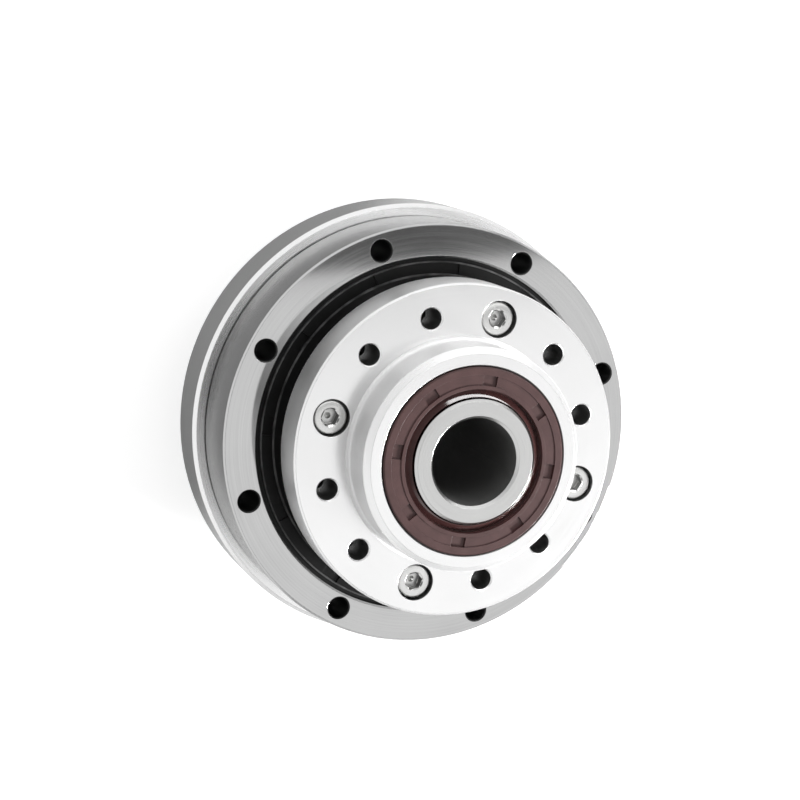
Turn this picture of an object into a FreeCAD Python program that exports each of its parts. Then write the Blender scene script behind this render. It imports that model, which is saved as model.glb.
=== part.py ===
import FreeCAD, Part
import math
import os

# Strain wave gearbox with a hollow input shaft, all sizes in millimetres.
# Z is the common axis, with the output side up; z = 0 is the rear mounting face of the rim.
# Radial sizes build up from the bore outwards, axial sizes from the rear mounting face.

# Hollow input shaft
bore_diameter = 14.0
shaft_wall = 3.0
shoulder_height = 1.5
shaft_proud = 0.7
rear_stub = 4.0
stub_step = 0.5
shaft_chamfer = 0.4

# Ball bearings that carry the shaft in the rear cover and in the output flange
bearing_section = 6.0
bearing_width = 7.0
bearing_race = 1.9
bearing_chamfer = 0.3
bearing_ball_diameter = 3.5
bearing_ball_count = 9
cage_wall = 1.2
cage_back = 0.6
cage_rise = 0.9

# Shaft seals with a garter spring
seal_section = 5.0
seal_width = 5.0
seal_case = 1.4
seal_web = 1.8
seal_lip_wall = 1.05
seal_lip_length = 4.1
seal_mouth = 1.5
seal_mouth_depth = 1.0
seal_dust_gap = 0.2
seal_dust_width = 1.1
seal_dust_wall = 0.7
seal_dust_drop = 0.25
seal_dust_land = 0.2
seal_edge = 0.2
seal_proud = 0.2
seal_gap = 0.8
seal_spring_diameter = 0.9
seal_band_inset = 0.6
seal_band_width = 1.6
seal_band_depth = 0.12
seal_pocket_count = 8
seal_pocket_turn = 7.0
seal_pocket_length = 2.3
seal_pocket_depth = 0.3

# Wave generator: an oval cam on the shaft, and a thin ball bearing that takes its shape
cam_lift = 1.0
cam_width = 6.2
wave_section = 5.0
wave_race = 1.25
wave_width = 5.8
wave_ball_diameter = 3.0
wave_ball_count = 15

# Flexspline: a thin cup with outside teeth at its open end and a brim at its base
flex_teeth = 160
flex_wall = 0.67
cup_wall = 0.37
cup_length = 11.9
tooth_width = 6.3
diaphragm_wall = 0.6
diaphragm_width = 6.4
cup_root_rise = 0.6
brim_thickness = 2.4

# Circular spline: a ring with two more teeth, on the inside
tooth_difference = 2
screw_offset = 3.8
spline_edge = 2.0
spline_overhang = 1.2
spline_width = 8.3
tooth_addendum = 0.88
tooth_dedendum = 1.1
flex_tooth_share = 0.42
spline_space_share = 0.58
flank_angle = 30.0

# Crossed roller bearing between the output and the housing
roller_offset = 3.3
roller_diameter = 2.5
roller_length = 2.4
roller_count = 36
roller_height = 6.0
roller_ring_gap = 0.4
roller_shoulder = 2.4
spacer_side = 2.2
spacer_length = 2.8
inner_ring_overhang = 0.8
neck_wall = 0.7

# Housing: outer bearing ring, rear cover and the bolt circle through both
housing_bolt_offset = 4.7
housing_bolt_count = 8
housing_hole_diameter = 3.5
housing_turn = 33.7
ring_edge = 3.0
ring_height = 11.5
ring_chamfer = 0.3
spigot_step = 0.6
spigot_depth = 1.0
seam_width = 0.6
rim_step = 2.0
rim_thickness = 9.0
rim_front_chamfer = 0.6
rim_rear_chamfer = 0.4
rear_boss_wall = 4.0
rear_boss_height = 8.0
rear_boss_chamfer = 0.6
diaphragm_room = 0.7
cover_screw_count = 4
cover_screw_inset = 0.7

# Output flange
flange_edge = 5.0
flange_lift = 12.1
flange_thickness = 6.0
flange_chamfer = 0.3
skirt_width = 2.0
skirt_depth = 1.4
boss_wall = 3.0
boss_height = 7.2
boss_chamfer = 1.0
boss_fillet = 0.5
output_positions = 12
output_screw_every = 3
output_hole_diameter = 3.4
output_thread_depth = 6.0

# Seal between the output neck and the outer ring
output_seal_section = 4.5
output_seal_recess = 0.3
output_seal_seat = 3.1
output_seal_case = 1.2
output_seal_web = 1.1
output_seal_edge = 0.65
output_seal_edge_depth = 0.5
output_seal_ridge = 0.25
output_seal_band_width = 1.8
output_seal_band_depth = 0.2
output_seal_lip_drop = 0.3
output_seal_pocket_count = 12
output_seal_pocket_turn = 11.0
output_seal_pocket_length = 3.1
output_seal_pocket_depth = 0.3

# O-rings on both sides of the flexspline brim
o_ring_diameter = 0.74
o_ring_groove_width = 1.2
cover_o_ring_offset = 4.4
ring_o_ring_offset = 3.1

# Socket cap screws, all of one thread
screw_diameter = 3.0
screw_hole_diameter = 3.4
screw_tap_diameter = 2.5
screw_head_diameter = 5.5
screw_head_height = 3.0
screw_head_chamfer = 0.3
screw_socket_width = 2.5
screw_socket_depth = 1.5
screw_head_recess = 0.6
cover_head_recess = 0.4
counterbore_diameter = 6.0
output_screw_length = 16.0
cover_screw_length = 10.0
screw_end_room = 1.0
hole_chamfer = 0.2

# Clearances, all on the radius
seat_fit = 0.01
cover_fit = 0.03
thread_fit = 0.02
lip_clearance = 0.05
ball_clearance = 0.05
roller_clearance = 0.03
pocket_clearance = 0.1
seat_lead_in = 0.3

# Radii from the bore outwards
bore_radius = bore_diameter / 2
shaft_radius = bore_radius + shaft_wall
shoulder_radius = shaft_radius + shoulder_height
bearing_radius = shaft_radius + bearing_section
bearing_pitch = shaft_radius + bearing_section / 2
seal_radius = shaft_radius + seal_section
cam_radius = shoulder_radius + cam_lift
wave_inner = cam_radius + seat_fit
wave_outer = wave_inner + wave_section
wave_pitch = wave_inner + wave_section / 2
cup_inner = wave_outer + 2 * seat_fit
cup_outer = cup_inner + cup_wall
flex_pitch = cup_inner + flex_wall
tooth_module = 2 * flex_pitch / flex_teeth
spline_teeth = flex_teeth + tooth_difference
spline_pitch = spline_teeth * tooth_module / 2
wave_height = spline_pitch - flex_pitch
oval_share = wave_height / cup_inner
output_bolt_radius = flex_pitch + screw_offset
spline_outer = output_bolt_radius + spline_edge
neck_inner = output_bolt_radius - output_hole_diameter / 2 - neck_wall
roller_pitch = spline_outer + roller_offset
roller_groove = math.sqrt(2) * (roller_diameter / 2 + roller_clearance)
inner_ring_outer = roller_pitch - roller_ring_gap / 2
outer_ring_inner = roller_pitch + roller_ring_gap / 2
housing_bolt_radius = roller_pitch + housing_bolt_offset
cover_screw_radius = housing_bolt_radius - cover_screw_inset
ring_radius = housing_bolt_radius + ring_edge
spigot_radius = ring_radius - spigot_step
rim_radius = ring_radius + rim_step
flange_radius = output_bolt_radius + flange_edge
neck_radius = flange_radius - skirt_width
output_seal_radius = neck_radius + output_seal_section
boss_radius = seal_radius + boss_wall
rear_boss_radius = bearing_radius + rear_boss_wall
brim_inner = cup_outer + diaphragm_width + diaphragm_wall
cover_o_ring_radius = housing_bolt_radius - cover_o_ring_offset
ring_o_ring_radius = housing_bolt_radius - ring_o_ring_offset

# Heights from the rear mounting face
cover_floor = rim_thickness - spigot_depth - brim_thickness
brim_front = cover_floor + brim_thickness
ring_face = rim_thickness + ring_height
roller_mid = brim_front + roller_height
cup_end = cover_floor + cup_length
tooth_base = cup_end - tooth_width
wave_mid = cup_end - tooth_width / 2
spline_front = cup_end + spline_overhang
spline_rear = spline_front - spline_width
inner_ring_rear = spline_rear - inner_ring_overhang
flange_face = ring_face + flange_lift
neck_top = flange_face - flange_thickness
skirt_bottom = neck_top - skirt_depth
boss_face = flange_face + boss_height
shaft_front = boss_face + shaft_proud
front_seal_face = boss_face + seal_proud
front_shoulder = front_seal_face - seal_width - seal_gap
rear_boss_face = -rear_boss_height
shaft_rear = rear_boss_face - rear_stub
rear_seal_face = rear_boss_face - seal_proud
rear_shoulder = rear_seal_face + seal_width + seal_gap
output_seal_floor = ring_face - output_seal_seat
output_seal_face = ring_face - output_seal_recess
output_head_seat = flange_face - screw_head_recess - screw_head_height
cover_head_seat = cover_head_recess + screw_head_height

# Angles about the axis, in degrees
output_step = 360 / output_positions
output_screw_angles = [output_step * i for i in range(0, output_positions, output_screw_every)]
output_hole_angles = [output_step * i for i in range(output_positions) if i % output_screw_every]
housing_step = 360 / housing_bolt_count
housing_hole_angles = [housing_turn + housing_step * i for i in range(housing_bolt_count)]
cover_screw_step = 360 / cover_screw_count
cover_screw_turn = housing_turn + housing_step / 2
cover_screw_angles = [cover_screw_turn + cover_screw_step * i for i in range(cover_screw_count)]

ORIGIN = FreeCAD.Vector(0, 0, 0)
AXIS = FreeCAD.Vector(0, 0, 1)
SIDEWAYS = FreeCAD.Vector(0, 1, 0)


def polar(radius, degrees, z=0.0):
    """Point at a radius and an angle about the axis."""
    angle = math.radians(degrees)
    return FreeCAD.Vector(radius * math.cos(angle), radius * math.sin(angle), z)


def turned(outline):
    """Solid of revolution; the outline lists its (radius, z) corners."""
    corners = [FreeCAD.Vector(radius, 0, z) for radius, z in outline]
    face = Part.Face(Part.makePolygon(corners + corners[:1]))
    return face.revolve(ORIGIN, AXIS, 360)


def rods(diameter, circle, angles, low, high):
    """Cylinders parallel to the axis, one at each angle on a circle."""
    return [Part.makeCylinder(diameter / 2, high - low, polar(circle, angle, low)) for angle in angles]


def mouths(diameter, circle, angles, z, way):
    """Countersinks for hole edges at height z; way is 1 where the hole opens upwards and -1 downwards."""
    inner = diameter / 2
    outer = inner + hole_chamfer
    inwards = AXIS * -way
    return [Part.makeCone(outer, inner, hole_chamfer, polar(circle, angle, z), inwards) for angle in angles]


def spread(shape, turn, count):
    """Copies of a shape evenly round the axis, the first one turned by an angle."""
    return [shape.rotated(ORIGIN, AXIS, turn + 360 / count * i) for i in range(count)]


def groove(pitch, radius, z):
    """Ring-shaped cutter for the ball track of a race."""
    return Part.makeTorus(pitch, radius, FreeCAD.Vector(0, 0, z), AXIS)


def squeezed(shape):
    """The same shape as the oval cam presses it: longer along X, shorter along Y."""
    matrix = FreeCAD.Matrix()
    matrix.A11 = 1 + oval_share
    matrix.A22 = 1 - oval_share
    return shape.transformGeometry(matrix)


def squeezed_point(radius, degrees, z):
    """A point of a round layer after the cam has pressed it oval."""
    point = polar(radius, degrees, z)
    return FreeCAD.Vector(point.x * (1 + oval_share), point.y * (1 - oval_share), z)


def oval_wire(radius, z):
    """Oval that a circle of the cup becomes over the cam."""
    ellipse = Part.Ellipse(FreeCAD.Vector(0, 0, z), radius + wave_height, radius - wave_height)
    return Part.Wire(ellipse.toShape())


def circle_wire(radius, z):
    """Circle about the axis."""
    return Part.Wire(Part.Circle(FreeCAD.Vector(0, 0, z), AXIS, radius).toShape())


def pierced(outside, inside, height):
    """Straight solid between an outer and an inner outline."""
    return Part.makeFace([outside, inside], "Part::FaceMakerBullseye").extrude(AXIS * height)


def filleted(shape, size, radius, z):
    """Shape with its circular edge at this radius and height rounded."""
    edges = [edge for edge in shape.Edges if isinstance(edge.Curve, Part.Circle)
             and abs(edge.Curve.Radius - radius) < 1e-6 and abs(edge.Curve.Center.z - z) < 1e-6]
    return shape.makeFillet(size, edges)


def cap_screw(length):
    """Socket cap screw along Z, with its head standing on z = 0 and its shank below."""
    head = screw_head_diameter / 2
    shank = screw_diameter / 2
    body = turned([(0, -length), (shank - screw_head_chamfer, -length), (shank, screw_head_chamfer - length),
                   (shank, 0), (head, 0), (head, screw_head_height - screw_head_chamfer),
                   (head - screw_head_chamfer, screw_head_height), (0, screw_head_height)])
    socket_floor = screw_head_height - screw_socket_depth
    corners = [polar(screw_socket_width / math.sqrt(3), 60 * i, socket_floor) for i in range(7)]
    socket = Part.Face(Part.makePolygon(corners)).extrude(AXIS * screw_socket_depth)
    return body.cut(socket)


def bearing_inner_race(low):
    """Inner race of a shaft bearing that starts at height low."""
    edge = bearing_chamfer
    inner = shaft_radius + seat_fit
    outer = shaft_radius + bearing_race
    high = low + bearing_width
    ring = turned([(inner + edge, low), (outer, low), (outer, high), (inner + edge, high),
                   (inner, high - edge), (inner, low + edge)])
    return ring.cut(bearing_track(low))


def bearing_outer_race(low):
    """Outer race of a shaft bearing that starts at height low."""
    edge = bearing_chamfer
    inner = bearing_radius - bearing_race
    outer = bearing_radius - seat_fit
    high = low + bearing_width
    ring = turned([(inner, low), (outer - edge, low), (outer, low + edge),
                   (outer, high - edge), (outer - edge, high), (inner, high)])
    return ring.cut(bearing_track(low))


def bearing_track(low):
    """Ball track of a shaft bearing."""
    return groove(bearing_pitch, bearing_ball_diameter / 2 + ball_clearance, low + bearing_width / 2)


def bearing_ball_centres(low):
    """Ball centres of a shaft bearing."""
    step = 360 / bearing_ball_count
    return [polar(bearing_pitch, step * i, low + bearing_width / 2) for i in range(bearing_ball_count)]


def crown_cage(pitch, mid, ball_diameter):
    """Ring beside the balls that wraps past their middles; its pockets are cut apart."""
    low = mid - cage_rise
    high = mid + ball_diameter / 2 + cage_back
    inner = pitch - cage_wall / 2
    outer = pitch + cage_wall / 2
    return turned([(inner, low), (outer, low), (outer, high), (inner, high)])


def pockets(centres, ball_diameter):
    """Ball-shaped cutters for cage pockets."""
    return [Part.makeSphere(ball_diameter / 2 + pocket_clearance, centre) for centre in centres]


def balls(centres, ball_diameter):
    """A set of separate balls."""
    return Part.makeCompound([Part.makeSphere(ball_diameter / 2, centre) for centre in centres])


def shaft_seal(face, way):
    """Seal with a main lip and a dust lip; its face lies at height face and looks up where way is 1."""
    lip = shaft_radius + lip_clearance
    dust = shaft_radius + seal_dust_gap
    outer = seal_radius - seat_fit
    case = outer - seal_case
    mouth = shaft_radius + seal_mouth
    valley = dust + seal_dust_width
    valley_floor = seal_width - seal_mouth_depth
    crest = seal_width - seal_dust_drop
    band_in = mouth + seal_band_inset
    band_out = band_in + seal_band_width
    band_floor = seal_width - seal_band_depth
    heel = seal_width - seal_lip_length
    tip = heel + seal_lip_wall
    web = seal_width - seal_web
    lip_back = lip + seal_lip_wall
    edge = lip_clearance
    outline = [(outer, 0), (outer, seal_width - seal_edge), (outer - seal_edge, seal_width),
               (band_out, seal_width), (band_out, band_floor), (band_in, band_floor), (band_in, seal_width),
               (mouth, seal_width), (valley, valley_floor), (dust + edge, crest), (dust, crest - edge),
               (dust, crest - seal_dust_land), (lip_back, valley_floor - seal_dust_wall),
               (lip, tip + edge), (lip, tip - edge), (lip + seal_lip_wall / 2, heel), (lip_back, heel),
               (lip_back, tip), (lip_back + seal_lip_wall, web), (case, web), (case, 0)]
    body = turned([(radius, face + way * (z - seal_width)) for radius, z in outline])
    depth = seal_band_depth + seal_pocket_depth
    pocket = Part.makeBox(seal_band_width, seal_pocket_length, 2 * depth)
    pocket.translate(FreeCAD.Vector(band_in, -seal_pocket_length / 2, face - depth))
    return body.cut(spread(pocket, seal_pocket_turn, seal_pocket_count))


def seal_spring(face, way):
    """Garter spring that presses the main lip on the shaft."""
    radius = seal_spring_diameter / 2
    ring = shaft_radius + lip_clearance + seal_lip_wall + seat_fit + radius
    height = seal_width - seal_lip_length + radius
    return groove(ring, radius, face + way * (height - seal_width))


def tooth_corners(point, normal_angle, heights, halves):
    """Four corners of a tooth or space, in order round the axis, on the normal through a pitch point."""
    normal = FreeCAD.Vector(math.cos(normal_angle), math.sin(normal_angle), 0)
    along = FreeCAD.Vector(-math.sin(normal_angle), math.cos(normal_angle), 0)
    (near, far), (near_half, far_half) = heights, halves
    return [point + normal * near - along * near_half, point + normal * far - along * far_half,
            point + normal * far + along * far_half, point + normal * near + along * near_half]


def flex_tooth_wire(z):
    """Outline of the flexspline's teeth, spaced evenly along the oval pitch line."""
    tip = tooth_addendum * tooth_module
    root = tooth_dedendum * tooth_module
    half = flex_tooth_share * math.pi * tooth_module / 2
    slope = math.tan(math.radians(flank_angle))
    corners = []
    for i in range(flex_teeth):
        even = 2 * math.pi * i / flex_teeth
        angle = even - wave_height / (2 * flex_pitch) * math.sin(2 * even)
        point = polar(flex_pitch + wave_height * math.cos(2 * angle), math.degrees(angle), z)
        normal_angle = angle + 2 * wave_height / flex_pitch * math.sin(2 * angle)
        corners += tooth_corners(point, normal_angle, (-root, tip), (half + root * slope, half - tip * slope))
    return Part.makePolygon(corners + corners[:1])


def spline_tooth_wire(z):
    """Outline of the circular spline's tooth spaces."""
    tip = tooth_addendum * tooth_module
    root = tooth_dedendum * tooth_module
    half = spline_space_share * math.pi * tooth_module / 2
    slope = math.tan(math.radians(flank_angle))
    corners = []
    for i in range(spline_teeth):
        angle = 2 * math.pi * i / spline_teeth
        point = polar(spline_pitch, math.degrees(angle), z)
        corners += tooth_corners(point, angle, (-tip, root), (half + tip * slope, half - root * slope))
    return Part.makePolygon(corners + corners[:1])


def hollow_shaft():
    """Hollow input shaft with the oval cam turned on it."""
    edge = shaft_chamfer
    rear_bearing_end = rear_shoulder + bearing_width
    front_bearing_end = front_shoulder - bearing_width
    stub_radius = shaft_radius - stub_step
    body = turned([(bore_radius + edge, shaft_rear), (stub_radius - edge, shaft_rear),
                   (stub_radius, shaft_rear + edge), (stub_radius, rear_boss_face),
                   (shaft_radius, rear_boss_face), (shaft_radius, rear_bearing_end),
                   (shoulder_radius, rear_bearing_end), (shoulder_radius, front_bearing_end),
                   (shaft_radius, front_bearing_end), (shaft_radius, shaft_front - edge),
                   (shaft_radius - edge, shaft_front), (bore_radius + edge, shaft_front),
                   (bore_radius, shaft_front - edge), (bore_radius, shaft_rear + edge)])
    low = wave_mid - cam_width / 2
    high = low + cam_width
    cam = squeezed(turned([(shaft_radius, low), (cam_radius, low), (cam_radius, high), (shaft_radius, high)]))
    return body.fuse(cam).removeSplitter()


def wave_race_ring(inner, outer):
    """One race of the wave generator's bearing."""
    low = wave_mid - wave_width / 2
    high = low + wave_width
    ring = turned([(inner, low), (outer, low), (outer, high), (inner, high)])
    return squeezed(ring.cut(groove(wave_pitch, wave_ball_diameter / 2 + ball_clearance, wave_mid)))


def flexspline():
    """Cup whose open end is pressed oval, with its diaphragm and bolted brim."""
    root_top = cover_floor + diaphragm_wall + cup_root_rise
    brim_neck = brim_inner - diaphragm_wall
    base = turned([(cup_inner, cover_floor), (spigot_radius, cover_floor), (spigot_radius, brim_front),
                   (brim_inner, brim_front), (brim_neck, cover_floor + diaphragm_wall),
                   (cup_outer + cup_root_rise, cover_floor + diaphragm_wall), (cup_outer, root_top),
                   (cup_inner, root_top)])
    outside = Part.makeLoft([circle_wire(cup_outer, root_top), oval_wire(cup_outer, tooth_base)], True)
    inside = Part.makeLoft([circle_wire(cup_inner, root_top), oval_wire(cup_inner, tooth_base)], True)
    teeth = pierced(flex_tooth_wire(tooth_base), oval_wire(cup_inner, tooth_base), tooth_width)
    cutters = rods(housing_hole_diameter, housing_bolt_radius, housing_hole_angles, cover_floor, brim_front)
    cutters += rods(screw_hole_diameter, cover_screw_radius, cover_screw_angles, cover_floor, brim_front)
    return base.cut(cutters).fuse([outside.cut(inside), teeth])


def circular_spline():
    """Rigid internally toothed ring, tapped for the output screws."""
    ring = pierced(circle_wire(spline_outer, spline_rear), spline_tooth_wire(spline_rear), spline_width)
    low = output_head_seat - output_screw_length - screw_end_room
    tapped = screw_diameter + 2 * thread_fit
    return ring.cut(rods(tapped, output_bolt_radius, output_screw_angles, low, spline_front))


def bearing_inner_ring():
    """Inner ring of the crossed roller bearing, with the neck that carries the output flange."""
    step = roller_mid + roller_shoulder
    inner = spline_outer + seat_fit
    bottom = roller_pitch - roller_groove
    depth = inner_ring_outer - bottom
    body = turned([(inner, inner_ring_rear), (inner_ring_outer, inner_ring_rear),
                   (inner_ring_outer, roller_mid - depth), (bottom, roller_mid),
                   (inner_ring_outer, roller_mid + depth), (inner_ring_outer, step), (neck_radius, step),
                   (neck_radius, neck_top - ring_chamfer), (neck_radius - ring_chamfer, neck_top),
                   (neck_inner, neck_top), (neck_inner, spline_front), (inner, spline_front)])
    thread_low = neck_top - output_thread_depth
    cutters = rods(screw_hole_diameter, output_bolt_radius, output_screw_angles, spline_front, neck_top)
    cutters += rods(screw_tap_diameter, output_bolt_radius, output_hole_angles, thread_low, neck_top)
    return body.cut(cutters)


def bearing_outer_ring():
    """Outer ring of the crossed roller bearing, with the housing bolt holes through it."""
    bottom = roller_pitch + roller_groove
    depth = bottom - outer_ring_inner
    pocket_in = ring_o_ring_radius - o_ring_groove_width / 2
    pocket_out = ring_o_ring_radius + o_ring_groove_width / 2
    pocket_top = brim_front + o_ring_diameter + seat_fit
    edge = ring_chamfer
    body = turned([(outer_ring_inner, brim_front), (pocket_in, brim_front), (pocket_in, pocket_top),
                   (pocket_out, pocket_top), (pocket_out, brim_front), (spigot_radius, brim_front),
                   (spigot_radius, rim_thickness + seam_width), (ring_radius, rim_thickness + seam_width),
                   (ring_radius, ring_face - edge), (ring_radius - edge, ring_face),
                   (output_seal_radius + seat_lead_in, ring_face),
                   (output_seal_radius, ring_face - seat_lead_in),
                   (output_seal_radius, output_seal_floor), (outer_ring_inner, output_seal_floor),
                   (outer_ring_inner, roller_mid + depth), (bottom, roller_mid),
                   (outer_ring_inner, roller_mid - depth)])
    cutters = rods(housing_hole_diameter, housing_bolt_radius, housing_hole_angles, brim_front, ring_face)
    cutters += mouths(housing_hole_diameter, housing_bolt_radius, housing_hole_angles, ring_face, 1)
    thread_end = cover_head_seat + cover_screw_length + screw_end_room
    tapped = screw_diameter + 2 * thread_fit
    cutters += rods(tapped, cover_screw_radius, cover_screw_angles, brim_front, thread_end)
    return body.cut(cutters)


def roller(index):
    """One roller in its place, its axis leaning the other way from its neighbours'."""
    return inclined_rod(roller_diameter / 2, roller_length, index, index)


def inclined_rod(radius, length, place, leaning):
    """Rod across the bearing's gap at a place along the row of rollers; odd leanings tilt inwards."""
    rod = Part.makeCylinder(radius, length, FreeCAD.Vector(0, 0, -length / 2))
    rod.rotate(ORIGIN, SIDEWAYS, 45 if leaning % 2 else -45)
    rod.translate(FreeCAD.Vector(roller_pitch, 0, roller_mid))
    return rod.rotated(ORIGIN, AXIS, 360 / roller_count * place)


def spacer(index):
    """Block between two rollers, hollowed on both sides to hold them."""
    block = Part.makeBox(spacer_side, spacer_length, spacer_side)
    block.translate(FreeCAD.Vector(-spacer_side / 2, -spacer_length / 2, -spacer_side / 2))
    block.rotate(ORIGIN, SIDEWAYS, 45)
    block.translate(FreeCAD.Vector(roller_pitch, 0, roller_mid))
    radius = roller_diameter / 2 + pocket_clearance
    hollows = [inclined_rod(radius, 2 * roller_diameter, -0.5, index),
               inclined_rod(radius, 2 * roller_diameter, 0.5, index + 1)]
    return block.cut(hollows).rotated(ORIGIN, AXIS, 360 / roller_count * (index + 0.5))


def output_flange():
    """Output flange with the front bearing seat and the seal boss."""
    bearing_seat = bearing_radius
    seal_seat = seal_radius
    edge = flange_chamfer
    register = neck_radius + cover_fit
    body = turned([(bearing_seat, neck_top), (bearing_seat, front_shoulder), (seal_seat, front_shoulder),
                   (seal_seat, boss_face - seat_lead_in), (seal_seat + seat_lead_in, boss_face),
                   (boss_radius - boss_chamfer, boss_face), (boss_radius, boss_face - boss_chamfer),
                   (boss_radius, flange_face), (flange_radius - edge, flange_face),
                   (flange_radius, flange_face - edge), (flange_radius, skirt_bottom + edge),
                   (flange_radius - edge, skirt_bottom), (register, skirt_bottom), (register, neck_top)])
    body = filleted(body, boss_fillet, boss_radius, flange_face)
    circle = output_bolt_radius
    cutters = rods(output_hole_diameter, circle, output_hole_angles, neck_top, flange_face)
    cutters += mouths(output_hole_diameter, circle, output_hole_angles, flange_face, 1)
    cutters += rods(screw_hole_diameter, circle, output_screw_angles, neck_top, flange_face)
    cutters += rods(counterbore_diameter, circle, output_screw_angles, output_head_seat, flange_face)
    return body.cut(cutters)


def rear_cover():
    """Rear cover: the rim with its recess for brim and ring, and the boss with seal and bearing seats."""
    recess = spigot_radius + cover_fit
    relief = brim_inner + cover_fit
    relief_floor = cover_floor - diaphragm_room
    pocket_in = cover_o_ring_radius - o_ring_groove_width / 2
    pocket_out = cover_o_ring_radius + o_ring_groove_width / 2
    pocket_floor = cover_floor - o_ring_diameter - seat_fit
    front_edge = rim_front_chamfer
    body = turned([(rim_radius - rim_rear_chamfer, 0), (rim_radius, rim_rear_chamfer),
                   (rim_radius, rim_thickness - front_edge), (rim_radius - front_edge, rim_thickness),
                   (recess, rim_thickness), (recess, cover_floor), (pocket_out, cover_floor),
                   (pocket_out, pocket_floor), (pocket_in, pocket_floor), (pocket_in, cover_floor),
                   (relief, cover_floor), (relief, relief_floor), (bearing_radius, relief_floor),
                   (bearing_radius, rear_shoulder), (seal_radius, rear_shoulder),
                   (seal_radius, rear_boss_face + seat_lead_in), (seal_radius + seat_lead_in, rear_boss_face),
                   (rear_boss_radius - rear_boss_chamfer, rear_boss_face),
                   (rear_boss_radius, rear_boss_face + rear_boss_chamfer), (rear_boss_radius, 0)])
    cutters = rods(housing_hole_diameter, housing_bolt_radius, housing_hole_angles, 0, cover_floor)
    cutters += mouths(housing_hole_diameter, housing_bolt_radius, housing_hole_angles, 0, -1)
    cutters += rods(screw_hole_diameter, cover_screw_radius, cover_screw_angles, 0, cover_floor)
    cutters += rods(counterbore_diameter, cover_screw_radius, cover_screw_angles, 0, cover_head_seat)
    return body.cut(cutters)


def output_seal():
    """Rubber seal in the outer ring, with two ridges, moulded pockets and its lip on the output neck."""
    outer = output_seal_radius - seat_fit
    lip = neck_radius + lip_clearance
    top = output_seal_face
    edge = outer - output_seal_edge
    edge_floor = top - output_seal_edge_depth
    band_out = edge - output_seal_ridge
    band_in = band_out - output_seal_band_width
    band_floor = top - output_seal_band_depth
    lip_top = top - output_seal_lip_drop
    case = outer - output_seal_case
    under = top - output_seal_web
    body = turned([(outer, output_seal_floor), (outer, edge_floor), (edge, edge_floor), (edge, top),
                   (band_out, top), (band_out, band_floor), (band_in, band_floor), (band_in, top),
                   (band_in - output_seal_ridge, top), (lip, lip_top), (lip, lip_top - output_seal_ridge),
                   (lip + output_seal_web, under), (case, under), (case, output_seal_floor)])
    depth = output_seal_band_depth + output_seal_pocket_depth
    pocket = Part.makeBox(output_seal_band_width, output_seal_pocket_length, 2 * depth)
    pocket.translate(FreeCAD.Vector(band_in, -output_seal_pocket_length / 2, top - depth))
    return body.cut(spread(pocket, output_seal_pocket_turn, output_seal_pocket_count))


def output_screws():
    """Screws that clamp flange, inner ring and circular spline together."""
    screw = cap_screw(output_screw_length)
    places = [polar(output_bolt_radius, angle, output_head_seat) for angle in output_screw_angles]
    return Part.makeCompound([screw.translated(place) for place in places])


def cover_screws():
    """Screws that hold cover and flexspline brim to the outer ring from the rear."""
    screw = cap_screw(cover_screw_length).rotated(ORIGIN, SIDEWAYS, 180)
    places = [polar(cover_screw_radius, angle, cover_head_seat) for angle in cover_screw_angles]
    return Part.makeCompound([screw.translated(place) for place in places])


rear_bearing_low = rear_shoulder
front_bearing_low = front_shoulder - bearing_width
wave_step = 360 / wave_ball_count
wave_centres = [squeezed_point(wave_pitch, wave_step * i, wave_mid) for i in range(wave_ball_count)]
o_ring_radius = o_ring_diameter / 2

nodes = {
    "rear_cover": rear_cover(),
    "cover_screws": cover_screws(),
    "cover_o_ring": groove(cover_o_ring_radius, o_ring_radius, cover_floor - o_ring_radius),
    "ring_o_ring": groove(ring_o_ring_radius, o_ring_radius, brim_front + o_ring_radius),
    "bearing_outer_ring": bearing_outer_ring(),
    "bearing_inner_ring": bearing_inner_ring(),
    "cross_rollers": Part.makeCompound([roller(i) for i in range(roller_count)]),
    "roller_spacers": Part.makeCompound([spacer(i) for i in range(roller_count)]),
    "output_seal": output_seal(),
    "flexspline": flexspline(),
    "circular_spline": circular_spline(),
    "hollow_shaft": hollow_shaft(),
    "wave_bearing_inner_race": wave_race_ring(wave_inner, wave_inner + wave_race),
    "wave_bearing_outer_race": wave_race_ring(wave_outer - wave_race, wave_outer),
    "wave_bearing_balls": balls(wave_centres, wave_ball_diameter),
    "wave_bearing_cage": squeezed(crown_cage(wave_pitch, wave_mid, wave_ball_diameter)).cut(
        pockets(wave_centres, wave_ball_diameter)),
    "output_flange": output_flange(),
    "output_screws": output_screws(),
}
for name, low, face, way in (("rear", rear_bearing_low, rear_seal_face, -1),
                             ("front", front_bearing_low, front_seal_face, 1)):
    centres = bearing_ball_centres(low)
    cage = crown_cage(bearing_pitch, low + bearing_width / 2, bearing_ball_diameter)
    nodes[name + "_bearing_inner_race"] = bearing_inner_race(low)
    nodes[name + "_bearing_outer_race"] = bearing_outer_race(low)
    nodes[name + "_bearing_balls"] = balls(centres, bearing_ball_diameter)
    nodes[name + "_bearing_cage"] = cage.cut(pockets(centres, bearing_ball_diameter))
    nodes[name + "_shaft_seal"] = shaft_seal(face, way)
    nodes[name + "_seal_spring"] = seal_spring(face, way)

os.makedirs("parts", exist_ok=True)
for name, shape in nodes.items():
    if not shape.isValid():
        raise ValueError(name + " is not a valid solid")
    shape.exportStep("parts/" + name + ".step")
    print(name, "solids", len(shape.Solids), "volume", round(shape.Volume, 2))
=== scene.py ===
import logging
import math
from dataclasses import dataclass, field
from enum import Enum
from typing import Callable, Dict, Iterable, List, Sequence, Tuple, Union

import bpy
from mathutils import Matrix, Vector


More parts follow.
